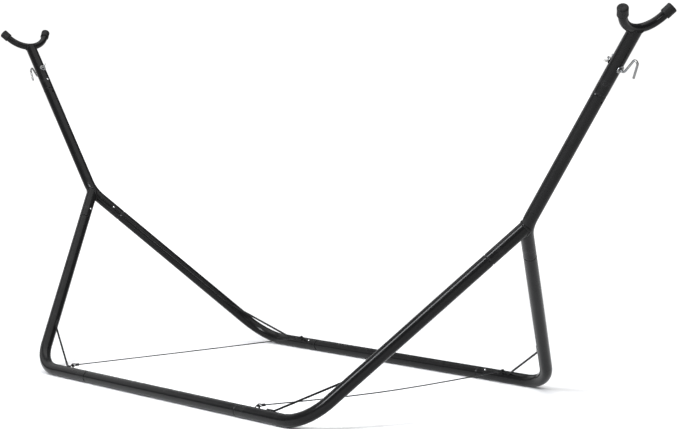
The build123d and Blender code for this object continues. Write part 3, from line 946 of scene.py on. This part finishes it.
def spring_metal(place):
    temper = place.noise(150.0, 2.0)
    grain = place.noise(1800.0, 2.0)
    metal = temper.mix((0.10, 0.11, 0.15, 1), (0.17, 0.14, 0.11, 1))
    return {"Base Color": metal, "Roughness": 0.26 + 0.2 * grain, "Normal": grain.bump(0.00003, 0.4)}


def rubber(place):
    bloom = place.noise(90.0, 4.0, 0.6)
    grain = place.noise(1300.0, 3.0, 0.6)
    dust = dust_mask(place, bloom)
    tone = bloom.mix((0.0040, 0.0040, 0.0042, 1), (0.0070, 0.0069, 0.0068, 1))
    dusty = (dust * 0.12).mix(tone, (0.05, 0.048, 0.046, 1))
    return {"Base Color": dusty, "Roughness": 0.46 + 0.18 * bloom, "Normal": grain.bump(0.00010, 0.5)}


def cable_plastic(place):
    scuff = place.noise(300.0, 4.0, 0.6)
    patch = place.noise(40.0, 3.0)
    tone = patch.mix((0.009, 0.009, 0.010, 1), (0.018, 0.018, 0.018, 1))
    marked = (scuff.between(0.60, 0.75) * 0.3).mix(tone, (0.06, 0.06, 0.06, 1))
    return {"Base Color": marked, "Roughness": 0.32 + 0.22 * scuff,
            "Normal": scuff.bump(0.00005, 0.4)}


def satin_black(place):
    cloud, patch, speck, peel, pit = coat_base(place)
    tone = cloud.mix((0.0050, 0.0050, 0.0052, 1), (0.0075, 0.0075, 0.0076, 1))
    worn = (speck.between(0.62, 0.74) * 0.25).mix(tone, (0.05, 0.05, 0.05, 1))
    return {"Base Color": worn, "Roughness": 0.38 + 0.14 * patch,
            "Normal": (peel + pit).bump(0.00008, 0.5)}


zinc_plate = finish("zinc plate", zinc, Metallic=1.0)
button_steel = finish("button steel", button_metal, Metallic=1.0)
spring_steel = finish("spring steel", spring_metal, Metallic=1.0)
cap_rubber = finish("moulded rubber", rubber, Specular_IOR_Level=0.18)
cable_coat = finish("cable plastic", cable_plastic, Specular_IOR_Level=0.4)
fitting_black = finish("satin black", satin_black, IOR=1.23)

# %% [markdown]
# Each solid part gets a finish chosen by the end of its name, and each new piece gets the finish
# of the slot it was given when it was made.

# %% Put the finishes on
slot_finish = {"frame_black": black_coat, "fitting_black": fitting_black, "cap_rubber": cap_rubber,
               "zinc": zinc_plate, "button_steel": button_steel, "spring_steel": spring_steel,
               "cable_black": cable_coat}


def finish_of_node(name):
    """Solid parts are recognised by the end of their names."""
    endings = {"_button": button_steel, "_clip": spring_steel, "_clips": spring_steel,
               "_brace": fitting_black, "_eyelet": fitting_black}
    for ending, material in endings.items():
        if name.endswith(ending):
            return material
    return black_coat


for name, node in nodes.items():
    for place in node.material_slots:
        place.material = finish_of_node(name)
for made in bpy.context.scene.objects:
    if made.type == "MESH" and made.name not in nodes:
        made.data.materials.append(slot_finish[made["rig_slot"]])
print("finished", len(nodes), "solid parts and the new pieces")

# %% [markdown]
# ## Floor
#
# The stand is shown on a white studio floor. Near the stand it is matt white, so that it takes soft
# shadows, and further out it fades into a glow as bright as the sky, so that no horizon shows.

# %% Floor
floor_mesh = bpy.data.meshes.new("floor")
half = 30.0
corners = [(-half, -half, 0), (half, -half, 0), (half, half, 0), (-half, half, 0)]
floor_mesh.from_pydata(corners, [], [(0, 1, 2, 3)])
floor = bpy.data.objects.new("floor", floor_mesh)
bpy.context.scene.collection.objects.link(floor)


def floor_paint(place):
    """Matt white near the stand; further out it fades into a glow as bright as the sky."""
    away = place.node("ShaderNodeVectorMath", {"operation": "LENGTH"}, {0: place}, output="Value")
    far = away.between(1.6, 4.6)
    return {"Base Color": far.mix((0.92, 0.92, 0.92, 1), (0, 0, 0, 1)),
            "Emission Color": far.mix((0, 0, 0, 1), (1, 1, 1, 1))}


floor.data.materials.append(finish("white floor", floor_paint, Roughness=0.9, Specular_IOR_Level=0.0,
                                   Emission_Strength=1.3))

# %% [markdown]
# ## Lights
#
# Black tube shows itself mostly by what it reflects. A broad soft light hangs overhead, a narrow one
# in front draws the long pale streaks along the tubes, and two dim ones stand at the ends. The sky
# is white to the eye but gives only a dim light, so that the black stays black.

# %% Lights
def softbox(name, at, aim, size, power, along=(0.0, 1.0, 0.01), tint=(1.0, 1.0, 1.0)):
    """A rectangular light at `at` that looks at `aim`; its long side follows `along`."""
    lamp = bpy.data.lights.new(name, "AREA")
    lamp.shape = "RECTANGLE"
    lamp.size, lamp.size_y = size
    lamp.energy = power
    lamp.color = tint
    made = bpy.data.objects.new(name, lamp)
    bpy.context.scene.collection.objects.link(made)
    back = unit(np.array(at, float) - np.array(aim, float))
    right = unit(np.cross(along, back))
    up = np.cross(back, right)
    made.matrix_world = Matrix.Translation(at) @ Matrix((right, up, back)).transposed().to_4x4()
    made.visible_camera = False


softbox("top light", (0.0, 0.0, 4.6), (0.0, 0.0, 0.0), (8.0, 5.0), 225.0)
softbox("strip light", (0.60, -4.05, 3.45), (1.16, -0.29, 0.37), (1.3, 2.6), 300.0,
        along=(0.486, 0.575, 0.656), tint=(0.95, 0.97, 1.0))
softbox("left light", (-5.5, -0.5, 2.4), (0.0, -0.3, 0.5), (2.4, 7.0), 45.0)
softbox("right light", (4.9, -1.95, 2.95), (-1.16, 0.29, 0.37), (1.0, 1.3), 38.0)

world = bpy.data.worlds.new("white room")
bpy.context.scene.world = world
world.use_nodes = True
sky = world.node_tree
sky.nodes.clear()
room = Shade(sky)
seen = room.node("ShaderNodeLightPath", output="Is Camera Ray")
white = room.node("ShaderNodeBackground", {}, {"Color": (1, 1, 1, 1), "Strength": 1.05})
dim = room.node("ShaderNodeBackground", {}, {"Color": (0.93, 0.95, 1.0, 1), "Strength": 0.22})
mixed = room.node("ShaderNodeMixShader", {}, {0: seen, 1: dim, 2: white})
sky.links.new(mixed.socket, sky.nodes.new("ShaderNodeOutputWorld").inputs["Surface"])
bpy.context.scene.view_settings.view_transform = "Standard"
print("floor, four soft lights and a white room")
